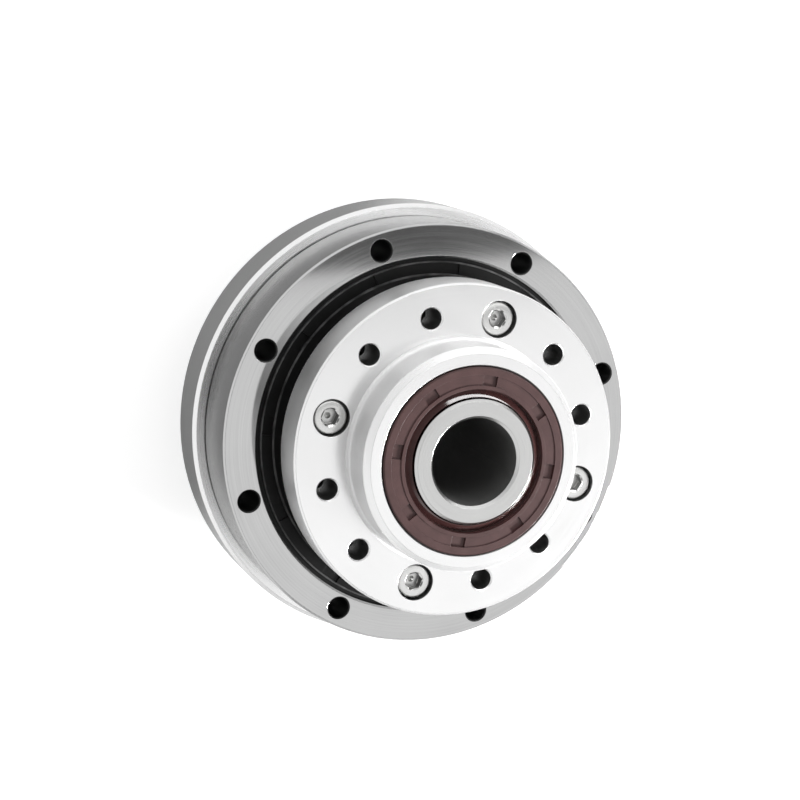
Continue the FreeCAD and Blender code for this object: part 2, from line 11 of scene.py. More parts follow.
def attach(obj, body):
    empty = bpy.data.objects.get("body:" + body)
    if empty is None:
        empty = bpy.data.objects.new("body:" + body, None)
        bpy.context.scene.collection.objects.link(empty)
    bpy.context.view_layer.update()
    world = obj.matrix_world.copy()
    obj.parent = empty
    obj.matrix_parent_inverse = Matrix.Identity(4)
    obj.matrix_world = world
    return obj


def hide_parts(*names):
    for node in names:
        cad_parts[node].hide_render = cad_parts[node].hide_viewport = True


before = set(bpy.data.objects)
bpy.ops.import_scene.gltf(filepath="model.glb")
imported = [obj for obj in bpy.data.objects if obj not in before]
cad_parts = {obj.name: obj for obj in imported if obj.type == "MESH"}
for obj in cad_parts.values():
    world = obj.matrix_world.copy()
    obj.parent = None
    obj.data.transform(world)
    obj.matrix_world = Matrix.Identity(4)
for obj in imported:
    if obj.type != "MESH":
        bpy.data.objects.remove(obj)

LOG = logging.getLogger("gearbox")
MM = 0.001
# Nearly all of a noise pattern lies between these two values
NOISE_LOW = 0.3
NOISE_HIGH = 0.7
Colour = Tuple[float, float, float]
Point = Tuple[float, float, float]
Ring = List[Point]
Facet = Tuple[int, ...]
Socket = bpy.types.NodeSocket
Feed = Union[float, Tuple[float, ...], Socket]


class Lay(Enum):
    """Direction of the marks that a tool leaves on metal."""

    TURNED = "rings about the gearbox axis"
    DRAWN = "fine marks with no one direction"


class Graph:
    """Node tree of one material, filled by short calls."""

    NEAR_AXIS = 1e-6  # Least distance from the axis, in metres
    AXIAL_RATE = 1.3  # Tool marks along the axis for each one across it
    BEVEL_SAMPLES = 4  # Rays that soften an edge

    def __init__(self, name: str) -> None:
        """Start a material with a bare surface shader.

        Args:
            name: Plain name of the finish.
        """
        self.material = bpy.data.materials.new(name)
        self.material.use_nodes = True
        self.tree = self.material.node_tree
        self.tree.nodes.clear()
        self.output = self.tree.nodes.new("ShaderNodeOutputMaterial")
        self.shader = self.tree.nodes.new("ShaderNodeBsdfPrincipled")
        self.join(self.shader.outputs["BSDF"], self.output.inputs["Surface"])
        self.place = self.tree.nodes.new("ShaderNodeTexCoord")

    def join(self, source: Socket, target: Socket) -> None:
        """Link two sockets."""
        self.tree.links.new(source, target)

    def feed(self, target: Socket, value: Feed) -> None:
        """Give a socket a constant or the output of another node.

        Args:
            target: Input socket.
            value: A number, a tuple or an output socket.
        """
        if isinstance(value, bpy.types.NodeSocket):
            self.join(value, target)
        else:
            target.default_value = value

    def math(self, operation: str, *values: Feed) -> Socket:
        """Add one sum.

        Args:
            operation: Blender's name of the operation.
            values: Its numbers or sockets.

        Returns:
            The socket with the result.
        """
        node = self.tree.nodes.new("ShaderNodeMath")
        node.operation = operation
        for socket, value in zip(node.inputs, values):
            self.feed(socket, value)
        return node.outputs[0]

    def blend(self, first: Socket, second: Socket, share: float) -> Socket:
        """Sum of two patterns, the first by a share and the second by the rest."""
        return self.math("MULTIPLY_ADD", first, share, self.math("MULTIPLY", second, 1.0 - share))

    def spread(self, value: Socket, low: float, high: float, start: float = 0.0, end: float = 1.0) -> Socket:
        """Map a pattern onto a range.

        Args:
            value: Pattern.
            low: Result at start.
            high: Result at end.
            start: Lower value of the pattern.
            end: Upper value of the pattern.

        Returns:
            The socket with the mapped value.
        """
        node = self.tree.nodes.new("ShaderNodeMapRange")
        for key, number in (("From Min", start), ("From Max", end), ("To Min", low), ("To Max", high)):
            node.inputs[key].default_value = number
        self.join(value, node.inputs["Value"])
        return node.outputs["Result"]

    def tones(self, value: Socket, dark: Colour, light: Colour) -> Socket:
        """Colour that runs between two tones.

        Args:
            value: Pattern from 0 to 1.
            dark: Colour at 0.
            light: Colour at 1.

        Returns:
            The colour socket.
        """
        node = self.tree.nodes.new("ShaderNodeValToRGB")
        for element, colour in zip(node.color_ramp.elements, (dark, light)):
            element.color = (*colour, 1.0)
        self.join(value, node.inputs["Fac"])
        return node.outputs["Color"]

    def noise(self, vector: Socket, scale: float, detail: float) -> Socket:
        """Soft random pattern.

        Args:
            vector: Coordinates.
            scale: Patches per unit of the coordinates.
            detail: Octaves of finer pattern.

        Returns:
            The socket with the pattern.
        """
        node = self.tree.nodes.new("ShaderNodeTexNoise")
        node.inputs["Scale"].default_value = scale
        node.inputs["Detail"].default_value = detail
        self.join(vector, node.inputs["Vector"])
        return node.outputs[0]

    def mixed(self, share: Socket, base: Socket, other: Colour) -> Socket:
        """Colour that gives way to another one.

        Args:
            share: Where the other colour shows, from 0 to 1.
            base: Colour at 0.
            other: Colour at 1.

        Returns:
            The colour socket.
        """
        node = self.tree.nodes.new("ShaderNodeMix")
        node.data_type = "RGBA"
        factor, first, second, result = node.inputs[0], node.inputs[6], node.inputs[7], node.outputs[2]
        self.join(share, factor)
        self.join(base, first)
        second.default_value = (*other, 1.0)
        return result

    def scaled(self, colour: Socket, factor: Socket) -> Socket:
        """Colour times a number.

        Args:
            colour: Colour socket.
            factor: Number socket.

        Returns:
            The colour socket.
        """
        node = self.tree.nodes.new("ShaderNodeVectorMath")
        node.operation = "SCALE"
        self.join(colour, node.inputs["Vector"])
        self.join(factor, node.inputs["Scale"])
        return node.outputs["Vector"]

    def radius(self) -> Tuple[Socket, ...]:
        """Measure where a point lies about the gearbox axis.

        Returns:
            The sockets with its distance from the axis and its three coordinates.
        """
        apart = self.tree.nodes.new("ShaderNodeSeparateXYZ")
        self.join(self.place.outputs["Object"], apart.inputs[0])
        x, y, z = apart.outputs
        square = self.math("MULTIPLY_ADD", x, x, self.math("MULTIPLY", y, y))
        return self.math("MAXIMUM", self.math("SQRT", square), self.NEAR_AXIS), x, y, z

    def within(self, low: float, high: float) -> Socket:
        """1 between two distances from the gearbox axis and 0 elsewhere."""
        return self.math("COMPARE", self.radius()[0], (low + high) / 2, (high - low) / 2)

    def turned_place(self, pitch: float) -> Socket:
        """Coordinates that hardly change round the axis and change fast across the lay.

        Args:
            pitch: Distance between tool marks, in metres.

        Returns:
            The vector socket.
        """
        radius, x, y, z = self.radius()
        across = self.math("MULTIPLY_ADD", z, self.AXIAL_RATE / pitch, self.math("DIVIDE", radius, pitch))
        together = self.tree.nodes.new("ShaderNodeCombineXYZ")
        outward = (self.math("DIVIDE", x, radius), self.math("DIVIDE", y, radius))
        for socket, value in zip(together.inputs, (*outward, across)):
            self.join(value, socket)
        return together.outputs[0]

    def flatness(self) -> Socket:
        """Tell faces from walls.

        Returns:
            The socket that is 1 on faces across the gearbox axis and 0 on walls along it.
        """
        apart = self.tree.nodes.new("ShaderNodeSeparateXYZ")
        self.join(self.place.outputs["Normal"], apart.inputs[0])
        return self.math("ABSOLUTE", apart.outputs[2])

    def relief(self, height: Socket, distance: float, edge: float) -> None:
        """Raise the surface by a pattern and soften its sharp edges.

        Args:
            height: Pattern from 0 to 1.
            distance: Height of the pattern, in metres.
            edge: Radius that a sharp edge seems to have, in metres.
        """
        rounded = self.tree.nodes.new("ShaderNodeBevel")
        rounded.samples = self.BEVEL_SAMPLES
        rounded.inputs["Radius"].default_value = edge
        bump = self.tree.nodes.new("ShaderNodeBump")
        bump.inputs["Strength"].default_value = 1.0
        bump.inputs["Distance"].default_value = distance
        self.join(height, bump.inputs["Height"])
        self.join(rounded.outputs[0], bump.inputs["Normal"])
        self.join(bump.outputs[0], self.shader.inputs["Normal"])


def grey(tone: float) -> Colour:
    """Colour with no hue."""
    return (tone, tone, tone)


def shades(colour: Colour, change: float) -> Tuple[Colour, ...]:
    """A darker and a lighter shade of a colour.

    Args:
        colour: Colour between the two.
        change: Share by which each shade departs from it.

    Returns:
        The dark shade and the light one.
    """
    dark = tuple(c * (1.0 - change) for c in colour)
    light = tuple(min(1.0, c * (1.0 + change)) for c in colour)
    return dark, light


@dataclass(frozen=True)
class Hollow:
    """Band about the axis whose surfaces steeper than a slope, the walls of holes and crevices, get painted
    shade: a darker colour, and more roughness.
    """

    low: float
    high: float
    slope: float = 0.5


@dataclass(frozen=True)
class MetalFinish:
    """Bare metal as it leaves the machine tool."""

    name: str
    colour: Colour
    face_roughness: float
    wall_roughness: float
    lay: Lay = Lay.TURNED
    pitch: float = 0.22 * MM
    depth: float = 0.0016 * MM
    mark_octaves: float = 3.0
    mark_share: float = 0.6
    smear_scale: float = 95.0
    smear_octaves: float = 4.0
    streak: float = 0.05
    handled: float = 0.04
    edge: float = 0.12 * MM
    rough_slopes: Tuple[float, float] = (0.3, 0.9)
    # Painted shade: share of the colour left on walls along the axis
    wall_shade_tone: float = 1.0
    shade_slopes: Tuple[float, float] = (0.3, 0.6)
    wall_ridges: float = 1.0
    ridge_slopes: Tuple[float, float] = (0.2, 0.6)
    shaded_hollows: Tuple[Hollow, ...] = ()
    hollow_shade_tone: float = 0.10
    drilled_roughness: float = 0.55
    satin_band: Tuple[float, ...] = ()
    satin_roughness: float = 0.62

    def material(self) -> bpy.types.Material:
        """Make the finish's material.

        Returns:
            A metal with tool marks, handling marks, dull drilled walls and softened edges.
        """
        graph = Graph(self.name)
        shader = graph.shader
        shader.inputs["Metallic"].default_value = 1.0
        turned = self.lay is Lay.TURNED
        place = graph.turned_place(self.pitch) if turned else graph.place.outputs["Object"]
        marks = graph.noise(place, 1.0 if turned else 1.0 / self.pitch, self.mark_octaves)
        smears = graph.noise(graph.place.outputs["Object"], self.smear_scale, self.smear_octaves)
        pattern = graph.blend(marks, smears, self.mark_share)
        share = graph.spread(pattern, 0.0, 1.0, NOISE_LOW, NOISE_HIGH)
        colour = graph.tones(share, *shades(self.colour, self.streak))
        flat = graph.flatness()
        rough = graph.spread(flat, self.wall_roughness, self.face_roughness, *self.rough_slopes)
        handling = graph.spread(pattern, -self.handled, self.handled, NOISE_LOW, NOISE_HIGH)
        rough = graph.math("ADD", rough, handling)
        # Painted shade: walls along the axis get a darker colour than faces across it
        if self.wall_shade_tone < 1.0:
            colour = graph.scaled(colour, graph.spread(flat, self.wall_shade_tone, 1.0, *self.shade_slopes))
        # Painted shade: walls of holes and crevices inside each band get a darker colour and more roughness
        for hollow in self.shaded_hollows:
            steep = graph.math("LESS_THAN", flat, hollow.slope)
            hole_shade = graph.math("MULTIPLY", graph.within(hollow.low, hollow.high), steep)
            colour = graph.mixed(hole_shade, colour, tuple(c * self.hollow_shade_tone for c in self.colour))
            rough = graph.math("MAXIMUM", rough, graph.math("MULTIPLY", hole_shade, self.drilled_roughness))
        if self.satin_band:
            satin = graph.math("MULTIPLY", graph.within(*self.satin_band), self.satin_roughness)
            rough = graph.math("MAXIMUM", rough, satin)
        graph.join(colour, shader.inputs["Base Color"])
        graph.join(rough, shader.inputs["Roughness"])
        if self.wall_ridges > 1.0:
            ridges = graph.spread(flat, self.wall_ridges, 1.0, *self.ridge_slopes)
            marks = graph.math("MULTIPLY", marks, ridges)
        graph.relief(marks, self.depth, self.edge)
        return graph.material


@dataclass(frozen=True)
class MouldedFinish:
    """Rubber or plastic as it leaves the mould."""

    name: str
    colour: Colour
    roughness: float
    roughness_change: float = 0.06
    grain: float = 0.12 * MM
    grain_share: float = 0.5
    patch_scale: float = 420.0
    octaves: float = 3.0
    depth: float = 0.006 * MM
    mottle: float = 0.14
    specular: float = 0.4
    edge: float = 0.08 * MM
    # Painted highlight: bands about the axis that get a lighter colour, patchy in strength
    highlighted_ridges: Tuple[Tuple[float, float], ...] = ()
    ridge_highlight_colour: Colour = (0.10, 0.10, 0.10)
    ridge_highlight_least: float = 0.3
    ridge_highlight_patches: Tuple[float, float] = (0.35, 0.65)
    greased_within: float = 0.0
    grease_roughness: float = 0.12
    grease_index: float = 1.6

    def material(self) -> bpy.types.Material:
        """Make the finish's material.

        Returns:
            A satin material with moulded grain, ridges with a painted highlight, faint mottling and a
            greased lip.
        """
        graph = Graph(self.name)
        shader = graph.shader
        shader.inputs["Specular IOR Level"].default_value = self.specular
        place = graph.place.outputs["Object"]
        grain = graph.noise(place, 1.0 / self.grain, self.octaves)
        patches = graph.noise(place, self.patch_scale, self.octaves)
        pattern = graph.blend(grain, patches, self.grain_share)
        share = graph.spread(pattern, 0.0, 1.0, NOISE_LOW, NOISE_HIGH)
        colour = graph.tones(share, *shades(self.colour, self.mottle))
        # Painted highlight: thin bands about the axis get a lighter colour, patchy in strength
        for low, high in self.highlighted_ridges:
            highlight_share = graph.spread(patches, self.ridge_highlight_least, 1.0, *self.ridge_highlight_patches)
            ridge_highlight = graph.math("MULTIPLY", graph.within(low, high), highlight_share)
            colour = graph.mixed(ridge_highlight, colour, self.ridge_highlight_colour)
        graph.join(colour, shader.inputs["Base Color"])
        rough = graph.spread(pattern, self.roughness - self.roughness_change,
                             self.roughness + self.roughness_change, NOISE_LOW, NOISE_HIGH)
        if self.greased_within:
            greased = graph.math("LESS_THAN", graph.radius()[0], self.greased_within)
            smoothing = graph.spread(greased, 1.0, self.grease_roughness / self.roughness)
            rough = graph.math("MULTIPLY", rough, smoothing)
            graph.join(greased, shader.inputs["Coat Weight"])
            shader.inputs["Coat Roughness"].default_value = self.grease_roughness
            shader.inputs["Coat IOR"].default_value = self.grease_index
        graph.join(rough, shader.inputs["Roughness"])
        graph.relief(grain, self.depth, self.edge)
        return graph.material


Finish = Union[MetalFinish, MouldedFinish]

# The hollows of each finish below are darkened as painted shade
FLANGE = MetalFinish("bright_aluminium", grey(0.90), face_roughness=0.22, wall_roughness=0.42,
                     depth=0.0010 * MM, streak=0.02, wall_ridges=24.0,
                     shaded_hollows=(Hollow(18.8 * MM, 25.2 * MM), Hollow(14.9 * MM, 15.35 * MM, slope=0.8)),
                     hollow_shade_tone=0.30, drilled_roughness=0.45, satin_band=(17.9 * MM, 18.7 * MM))
RING = MetalFinish("ground_steel", grey(0.56), face_roughness=0.07, wall_roughness=0.22, pitch=0.24 * MM,
                   depth=0.0003 * MM, streak=0.07, handled=0.02, wall_shade_tone=0.68, wall_ridges=40.0,
                   shaded_hollows=(Hollow(30.0 * MM, 34.0 * MM, slope=0.8),))
NECK = MetalFinish("neck_steel", grey(0.58), face_roughness=0.24, wall_roughness=0.22, pitch=0.26 * MM,
                   depth=0.0020 * MM, shaded_hollows=(Hollow(20.0 * MM, 24.5 * MM),))
RIM = MetalFinish("turned_steel", grey(0.88), face_roughness=0.28, wall_roughness=0.18, pitch=0.26 * MM,
                  wall_shade_tone=0.64, wall_ridges=8.0, shaded_hollows=(Hollow(28.0 * MM, 34.4 * MM),))
SHAFT = MetalFinish("shaft_steel", (0.60, 0.60, 0.595), face_roughness=0.22, wall_roughness=0.14,
                    shaded_hollows=(Hollow(0.0, 7.3 * MM),), hollow_shade_tone=0.60)
BEARING = MetalFinish("bearing_steel", (0.70, 0.70, 0.71), face_roughness=0.12, wall_roughness=0.10,
                      depth=0.0006 * MM)
SPLINE = MetalFinish("spline_steel", (0.54, 0.54, 0.55), face_roughness=0.30, wall_roughness=0.30)
SCREW = MetalFinish("screw_steel", (0.72, 0.72, 0.71), face_roughness=0.22, wall_roughness=0.22,
                    lay=Lay.DRAWN, pitch=0.14 * MM, streak=0.08)
# Painted shade: a darker finish for the insides of the sockets, with walls darker still
SOCKET_SHADE = MetalFinish("socket_shade_steel", (0.66, 0.66, 0.65), face_roughness=0.30, wall_roughness=0.32,
                     lay=Lay.DRAWN, pitch=0.14 * MM, streak=0.15, wall_shade_tone=0.25)
SPRING = MetalFinish("spring_steel", grey(0.48), face_roughness=0.25, wall_roughness=0.25,
                     lay=Lay.DRAWN, pitch=0.08 * MM)
BLACK_RUBBER = MouldedFinish("black_rubber", grey(0.005), roughness=0.34, specular=0.25)
# Its two ridges carry a painted highlight
SEAL_RUBBER = MouldedFinish("seal_rubber", grey(0.004), roughness=0.36, specular=0.2,
                            highlighted_ridges=((26.5 * MM, 26.8 * MM), (28.55 * MM, 28.85 * MM)))
BROWN_RUBBER = MouldedFinish("brown_rubber", (0.058, 0.023, 0.022), roughness=0.42, mottle=0.24,
                             specular=0.42, greased_within=11.4 * MM)
NYLON = MouldedFinish("cage_plastic", (0.52, 0.46, 0.34), roughness=0.40, grain=0.2 * MM)


class Dresser:
    """Gives the solids of the frame their finishes and keeps one material per finish."""

    def __init__(self) -> None:
        """Start with no materials."""
        self.made: Dict[str, bpy.types.Material] = {}

    def material(self, finish: Finish) -> bpy.types.Material:
        """Material of a finish, made once.

        Args:
            finish: Finish to look up or make.

        Returns:
            Its material.
        """
        if finish.name not in self.made:
            self.made[finish.name] = finish.material()
        return self.made[finish.name]

    def dress(self, finish: Finish, names: Iterable[str]) -> None:
        """Put a finish on solids of the frame.

        Args:
            finish: Finish to use.
            names: Names of the solids.
        """
        for name in names:
            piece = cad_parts[name]
            piece.data.materials.clear()
            piece.data.materials.append(self.material(finish))
            LOG.info("%s: %s", name, finish.name)


def fit_piece(piece: bpy.types.Object, node: str, body: str, finish: Finish, dresser: Dresser) -> None:
    """Put a finished piece in the place of a plain solid.

    Args:
        piece: Piece in its place.
        node: Solid it stands for.
        body: Body it moves with.
        finish: Finish of the piece.
        dresser: Holder of the materials.
    """
    piece.data.materials.append(dresser.material(finish))
    # The sockets get the darker finish: painted shade
    if finish is SCREW:
        piece.data.materials.append(dresser.material(SOCKET_SHADE))
    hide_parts(node)
    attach(piece, body)
    LOG.info("%s: %s", piece.name, finish.name)


def turned(angle: float) -> Matrix:
    """Turn about the gearbox axis, by an angle in degrees."""
    return Matrix.Rotation(math.radians(angle), 4, "Z")


def woven(rings: Sequence[Ring], closed: bool) -> Tuple[List[Point], List[Facet]]:
    """Skin over rings of equal point counts.

    Args:
        rings: Rings of points, each in the same order.
        closed: Whether the last ring joins the first; otherwise both ends are capped.

    Returns:
        The points and the faces of the skin.
    """
    count = len(rings[0])
    points = [point for ring in rings for point in ring]
    faces: List[Facet] = []
    last = len(rings) if closed else len(rings) - 1
    for i in range(last):
        a, b = i * count, (i + 1) % len(rings) * count
        faces += [(a + j, a + (j + 1) % count, b + (j + 1) % count, b + j) for j in range(count)]
    if not closed:
        faces.append(tuple(reversed(range(count))))
        faces.append(tuple(range(len(points) - count, len(points))))
    return points, faces


def smooth_piece(name: str, points: Sequence[Point], faces: Sequence[Facet],
                 sharp: float) -> bpy.types.Object:
    """Make an object from a skin, smooth except at its sharp edges.

    Args:
        name: Name of the piece.
        points: Points in metres.
        faces: Faces by point number.
        sharp: Angle from which an edge stays sharp, in degrees.

    Returns:
        The new object.
    """
    mesh = bpy.data.meshes.new(name)
    mesh.from_pydata([tuple(p) for p in points], [], list(faces))
    mesh.polygons.foreach_set("use_smooth", [True] * len(mesh.polygons))
    mesh.set_sharp_from_angle(angle=math.radians(sharp))
    mesh.validate()
    piece = bpy.data.objects.new(name, mesh)
    bpy.context.scene.collection.objects.link(piece)
    return piece


@dataclass
class CapScrew:
    """Socket cap screw with a knurled head, a countersunk socket and a real thread."""

    length: float
    shank: float = 1.5 * MM
    head: float = 2.75 * MM
    head_height: float = 3.0 * MM
    head_round: float = 0.35 * MM
    round_steps: int = 4
    head_chamfer: float = 0.12 * MM
    chamfer_height: float = 0.2 * MM
    socket: float = 1.25 * MM
    socket_depth: float = 1.5 * MM
    socket_bands: int = 4
    floor_share: float = 0.98
    countersink: float = 0.20 * MM
    drill: float = 0.5 * MM
    drill_point: float = 0.45 * MM
    drill_tip: float = 0.02 * MM
    knurl: float = 0.06 * MM
    knurl_start: float = 0.3 * MM
    knurl_gap: float = 0.1 * MM
    pitch: float = 0.5 * MM
    thread_depth: float = 0.27 * MM
    flank_rate: float = 1.3
    crest_share: float = 0.15
    plain: float = 0.6 * MM
    end: float = 0.3 * MM
    sides: int = 48
    steps: int = 6
    sharp: float = 28.0

    def circle(self, radius: float, z: float) -> Ring:
        """One round ring."""
        return self.shaped(lambda angle: radius, z)

    def shaped(self, radius: Callable[[float], float], z: float) -> Ring:
        """One ring whose radius depends on its angle.

        Args:
            radius: Radius by angle.
            z: Height of the ring.

        Returns:
            The ring's points.
        """
        angles = [2 * math.pi * i / self.sides for i in range(self.sides)]
        return [(radius(a) * math.cos(a), radius(a) * math.sin(a), z) for a in angles]

    def hexagon(self, angle: float) -> float:
        """Radius of the socket's wall at an angle."""
        return self.socket / math.cos(angle % (math.pi / 3) - math.pi / 6)

    def ridged(self, angle: float) -> float:
        """Radius of the knurled head at an angle."""
        return self.head - (self.knurl if round(angle * self.sides / (2 * math.pi)) % 2 else 0.0)

    def threaded(self, z: float) -> Ring:
        """One ring of the thread, with a flank wherever its helix passes.

        Args:
            z: Height of the ring.

        Returns:
            The ring's points.
        """
        def radius(angle: float) -> float:
            """Radius of the thread at an angle."""
            turn = (z / self.pitch + angle / (2 * math.pi)) % 1.0
            cut = abs(2 * turn - 1) * self.flank_rate - self.crest_share
            return self.shank - self.thread_depth * min(1.0, max(0.0, cut))
        return self.shaped(radius, z)

    def rings(self) -> List[Ring]:
        """Outline of the whole screw.

        Returns:
            Its rings from the socket's drill point to the shank's end.
        """
        top, floor = self.head_height, self.head_height - self.socket_depth
        corner = self.socket / math.cos(math.pi / 6)
        rings = [self.circle(self.drill_tip, floor - self.drill_point), self.circle(self.drill, floor),
                 self.circle(self.socket * self.floor_share, floor), self.shaped(self.hexagon, floor),
                 self.shaped(self.hexagon, top - self.countersink),
                 self.circle(corner + self.countersink / 2, top)]
        for i in range(self.round_steps + 1):
            bend = math.pi / 2 * i / self.round_steps
            rings.append(self.circle(self.head - self.head_round * (1 - math.sin(bend)),
                                     top - self.head_round * (1 - math.cos(bend))))
        rings += [self.shaped(self.ridged, top - self.head_round - self.knurl_gap),
                  self.shaped(self.ridged, self.knurl_start), self.circle(self.head, self.chamfer_height),
                  self.circle(self.head - self.head_chamfer, 0.0),
                  self.circle(self.shank, 0.0), self.circle(self.shank, -self.plain)]
        count = int((self.length - self.plain - self.end) / self.pitch * self.steps)
        rings += [self.threaded(-self.plain - self.pitch * i / self.steps) for i in range(1, count)]
        core = self.shank - self.thread_depth
        rings += [self.circle(core, -self.length + self.end / 2),
                  self.circle(core - self.end / 2, -self.length)]
        return rings

    def set_of(self, name: str, places: Sequence[Matrix]) -> bpy.types.Object:
        """Make several of these screws as one piece.

        Args:
            name: Name of the piece.
            places: Where each screw's head stands.

        Returns:
            The piece, with its sockets in a second, darker material that paints shade in them.
        """
        skin, facets = woven(self.rings(), False)
        facets = [tuple(reversed(f)) for f in facets]
        points: List[Point] = []
        faces: List[Facet] = []
        for place in places:
            start = len(points)
            points += [tuple(place @ Vector(p)) for p in skin]
            faces += [tuple(start + i for i in f) for f in facets]
        piece = smooth_piece(name, points, faces, self.sharp)
        # Socket faces take the second material, which paints shade in them
        socket_shade_faces = self.socket_bands * self.sides
        materials = [int(i % len(facets) < socket_shade_faces) for i in range(len(faces))]
        piece.data.polygons.foreach_set("material_index", materials)
        return piece


@dataclass
class GarterSpring:
    """Close-wound ring spring round a seal lip."""

    height: float
    radius: float = 11.56 * MM
    coil: float = 0.45 * MM
    wire: float = 0.09 * MM
    turns: int = 300
    steps: int = 10
    sides: int = 6
    sharp: float = 80.0

    def make(self, name: str) -> bpy.types.Object:
        """Wind the spring.

        Args:
            name: Name of the piece.

        Returns:
            The piece.
        """
        total = self.turns * self.steps
        middle = self.coil - self.wire
        rings: List[Ring] = []
        for i in range(total):
            round_axis = 2 * math.pi * i / total
            round_coil = 2 * math.pi * i / self.steps
            outward = Vector((math.cos(round_axis), math.sin(round_axis), 0.0))
            side = outward * math.cos(round_coil) + Vector((0, 0, 1)) * math.sin(round_coil)
            centre = outward * self.radius + side * middle + Vector((0, 0, self.height))
            along = Vector((-outward.y, outward.x, 0.0))
            rings.append([tuple(centre + (side * math.cos(t) + along * math.sin(t)) * self.wire)
                          for t in (2 * math.pi * k / self.sides for k in range(self.sides))])
        points, faces = woven(rings, True)
        return smooth_piece(name, points, faces, self.sharp)


@dataclass
class OutputSide:
    """Flange, inner bearing ring, circular spline and what is fixed to them."""

    bolt_circle: float = 22.0 * MM
    head_seat: float = 29.0 * MM
    screw_angles: Tuple[float, ...] = (0.0, 90.0, 180.0, 270.0)
    screw_turns: Tuple[float, ...] = (12.0, 41.0, 23.0, 55.0)
    screw: CapScrew = field(default_factory=lambda: CapScrew(length=16.0 * MM))
    spring: GarterSpring = field(default_factory=lambda: GarterSpring(height=36.35 * MM))

    def build(self, dresser: Dresser) -> None:
        """Make the screws and the spring, and dress the solids.

        Args:
            dresser: Holder of the materials.
        """
        seat = Matrix.Translation((self.bolt_circle, 0, self.head_seat))
        places = [turned(angle) @ seat @ turned(turn)
                  for angle, turn in zip(self.screw_angles, self.screw_turns)]
        fit_piece(self.screw.set_of("output_cap_screws", places), "output_screws", "output", SCREW, dresser)
        fit_piece(self.spring.make("front_garter_spring"), "front_seal_spring", "output", SPRING, dresser)
        dresser.dress(FLANGE, ["output_flange"])
        dresser.dress(NECK, ["bearing_inner_ring"])
        dresser.dress(SPLINE, ["circular_spline"])
        dresser.dress(BROWN_RUBBER, ["front_shaft_seal"])
        dresser.dress(BEARING, ["front_bearing_outer_race"])


@dataclass
class HousingSide:
    """Outer bearing ring, rear cover, flexspline and what is fixed to them."""

    bolt_circle: float = 31.3 * MM
    head_seat: float = 3.4 * MM
    screw_angles: Tuple[float, ...] = (56.2, 146.2, 236.2, 326.2)
    screw_turns: Tuple[float, ...] = (5.0, 37.0, 18.0, 50.0)
    screw: CapScrew = field(default_factory=lambda: CapScrew(length=10.0 * MM))
    spring: GarterSpring = field(default_factory=lambda: GarterSpring(height=-4.55 * MM))

    def build(self, dresser: Dresser) -> None:
        """Make the screws and the spring, and dress the solids.

        Args:
            dresser: Holder of the materials.
        """
        seat = Matrix.Translation((self.bolt_circle, 0, self.head_seat))
        head_down = Matrix.Rotation(math.pi, 4, "Y")
        places = [turned(angle) @ seat @ head_down @ turned(turn)
                  for angle, turn in zip(self.screw_angles, self.screw_turns)]
        fit_piece(self.screw.set_of("cover_cap_screws", places), "cover_screws", "housing", SCREW, dresser)
        fit_piece(self.spring.make("rear_garter_spring"), "rear_seal_spring", "housing", SPRING, dresser)
        dresser.dress(RING, ["bearing_outer_ring"])
        dresser.dress(RIM, ["rear_cover"])
        dresser.dress(SPLINE, ["flexspline"])
        dresser.dress(SEAL_RUBBER, ["output_seal"])
        dresser.dress(BLACK_RUBBER, ["cover_o_ring", "ring_o_ring"])
        dresser.dress(BROWN_RUBBER, ["rear_shaft_seal"])
        dresser.dress(BEARING, ["rear_bearing_outer_race", "wave_bearing_outer_race"])


@dataclass
class InputSide:
    """Hollow shaft with the inner races on it."""

    races: Tuple[str, ...] = ("rear_bearing_inner_race", "front_bearing_inner_race",
                              "wave_bearing_inner_race")

    def build(self, dresser: Dresser) -> None:
        """Dress the shaft and its races."""
        dresser.dress(SHAFT, ["hollow_shaft"])
        dresser.dress(BEARING, self.races)


@dataclass
class RollingSets:
    """Balls, rollers, cages and spacers."""

    rolling: Tuple[str, ...] = ("rear_bearing_balls", "front_bearing_balls", "wave_bearing_balls",
                                "cross_rollers")
    holders: Tuple[str, ...] = ("rear_bearing_cage", "front_bearing_cage", "wave_bearing_cage",
                                "roller_spacers")

    def build(self, dresser: Dresser) -> None:
        """Dress the rolling pieces and their holders."""
        dresser.dress(BEARING, self.rolling)
        dresser.dress(NYLON, self.holders)


@dataclass
class Camera:
    """Camera that sees the gearbox as the photograph does; lengths of the fit are in millimetres."""

    focal: float = 1997.0
    side: float = 800.0
    sensor: float = 36.0
    centre: Point = (4.909, 5.882, 327.86)
    axis: Point = (0.34166, 0.19206, -0.91999)
    axis_height: float = 20.5
    turn: float = -18.6
    nearest: float = 0.01

    def make(self) -> None:
        """Place the camera and make it the scene's own."""
        axis = Vector(self.axis).normalized()
        right = Vector((1.0, 0.0, 0.0))
        right = (right - axis * right.dot(axis)).normalized()
        up = axis.cross(right)
        angle = math.radians(self.turn)
        across = right * math.cos(angle) + up * math.sin(angle)
        row = Matrix((across, axis.cross(across), axis))
        start = Vector(self.centre) - axis * self.axis_height
        data = bpy.data.cameras.new("camera")
        data.sensor_width = self.sensor
        data.lens = self.focal / self.side * self.sensor
        data.clip_start = self.nearest
        camera = bpy.data.objects.new("camera", data)
        pose = (row @ Matrix(((1, 0, 0), (0, -1, 0), (0, 0, -1)))).to_4x4()
        pose.translation = -(row @ start) * MM
        camera.matrix_world = pose
        bpy.context.scene.collection.objects.link(camera)
        bpy.context.scene.camera = camera


